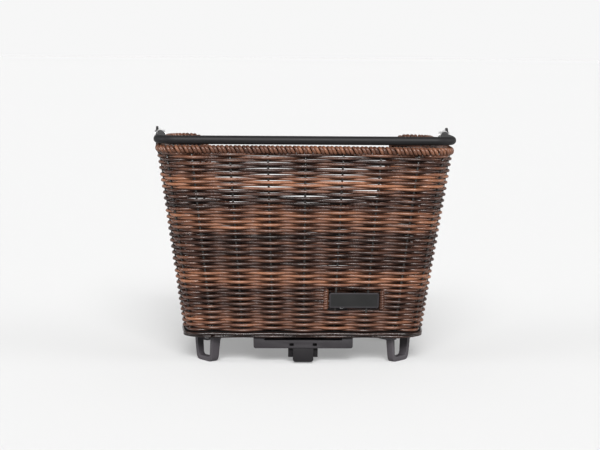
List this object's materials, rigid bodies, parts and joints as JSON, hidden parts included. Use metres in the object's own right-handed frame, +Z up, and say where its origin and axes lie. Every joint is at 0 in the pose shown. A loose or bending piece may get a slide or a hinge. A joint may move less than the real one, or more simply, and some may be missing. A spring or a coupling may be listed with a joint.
{
  "type": "bicycle basket",
  "caption": "Tapered woven basket for a rear bicycle rack, with a dipped back rim, folding tube handle, strap feet and a click-on rack adapter with a sprung latch.",
  "frame": {"origin": "on the ground plane under the middle of the basket", "axes": "+Z up, +X to the right along the width, -Y towards the side with the name plate and the latch tongue"},
  "size_m": [0.4342, 0.3138, 0.3313],
  "materials": {
    "wicker": "marbled brown synthetic rattan, satin",
    "black_wire": "black powder coat",
    "handle_tube": "black coated tube, semi-gloss",
    "black_plastic": "fine moulded grain",
    "steel": "zinc plated"
  },
  "bodies": {
    "basket": {"wire_frame": "black_wire", "woven_wall": "wicker", "rim_border": "wicker", "woven_floor": "wicker", "pivot_bracket_right": "black_wire", "pivot_bracket_left": "black_wire", "pivot_bolt_right": "steel", "pivot_bolt_left": "steel", "pivot_nut_right": "steel", "pivot_nut_left": "steel", "bracket_backing_right": "black_wire", "bracket_backing_left": "black_wire", "bracket_screw_right_upper": "steel", "bracket_screw_right_lower": "steel", "bracket_screw_left_upper": "steel", "bracket_screw_left_lower": "steel", "bracket_nut_right_upper": "steel", "bracket_nut_right_lower": "steel", "bracket_nut_left_upper": "steel", "bracket_nut_left_lower": "steel", "foot_front_left": "black_plastic", "foot_front_right": "black_plastic", "foot_back_right": "black_plastic", "foot_back_left": "black_plastic", "foot_screw_front_left": "steel", "foot_screw_front_right": "steel", "foot_screw_back_right": "steel", "foot_screw_back_left": "steel", "foot_nut_front_left": "steel", "foot_nut_front_right": "steel", "foot_nut_back_right": "steel", "foot_nut_back_left": "steel", "adapter_plate": "black_plastic", "adapter_clamp_plate": "black_plastic", "adapter_screw_front_left": "steel", "adapter_screw_front_right": "steel", "adapter_screw_back_right": "steel", "adapter_screw_back_left": "steel", "latch_pin": "steel", "latch_spring": "steel", "name_plate": "black_plastic", "name_plate_backing": "black_wire", "name_plate_screw_left": "steel", "name_plate_screw_right": "steel"},
    "handle": {"handle_tube": "handle_tube"},
    "latch": {"latch_lever": "black_plastic"}
  },
  "joints": [
    {"name": "handle_fold", "type": "hinge", "parent": "basket", "child": "handle", "pos_m": [0, 0, 0.3203], "axis": [-1, 0, 0], "range_deg": [0, 180]},
    {"name": "latch_press", "type": "hinge", "parent": "basket", "child": "latch", "pos_m": [0, -0.1027, 0.0275], "axis": [1, 0, 0], "range_deg": [0, 20], "stiffness_Nm_per_rad": 0.1, "springref_deg": -20.05}
  ]
}
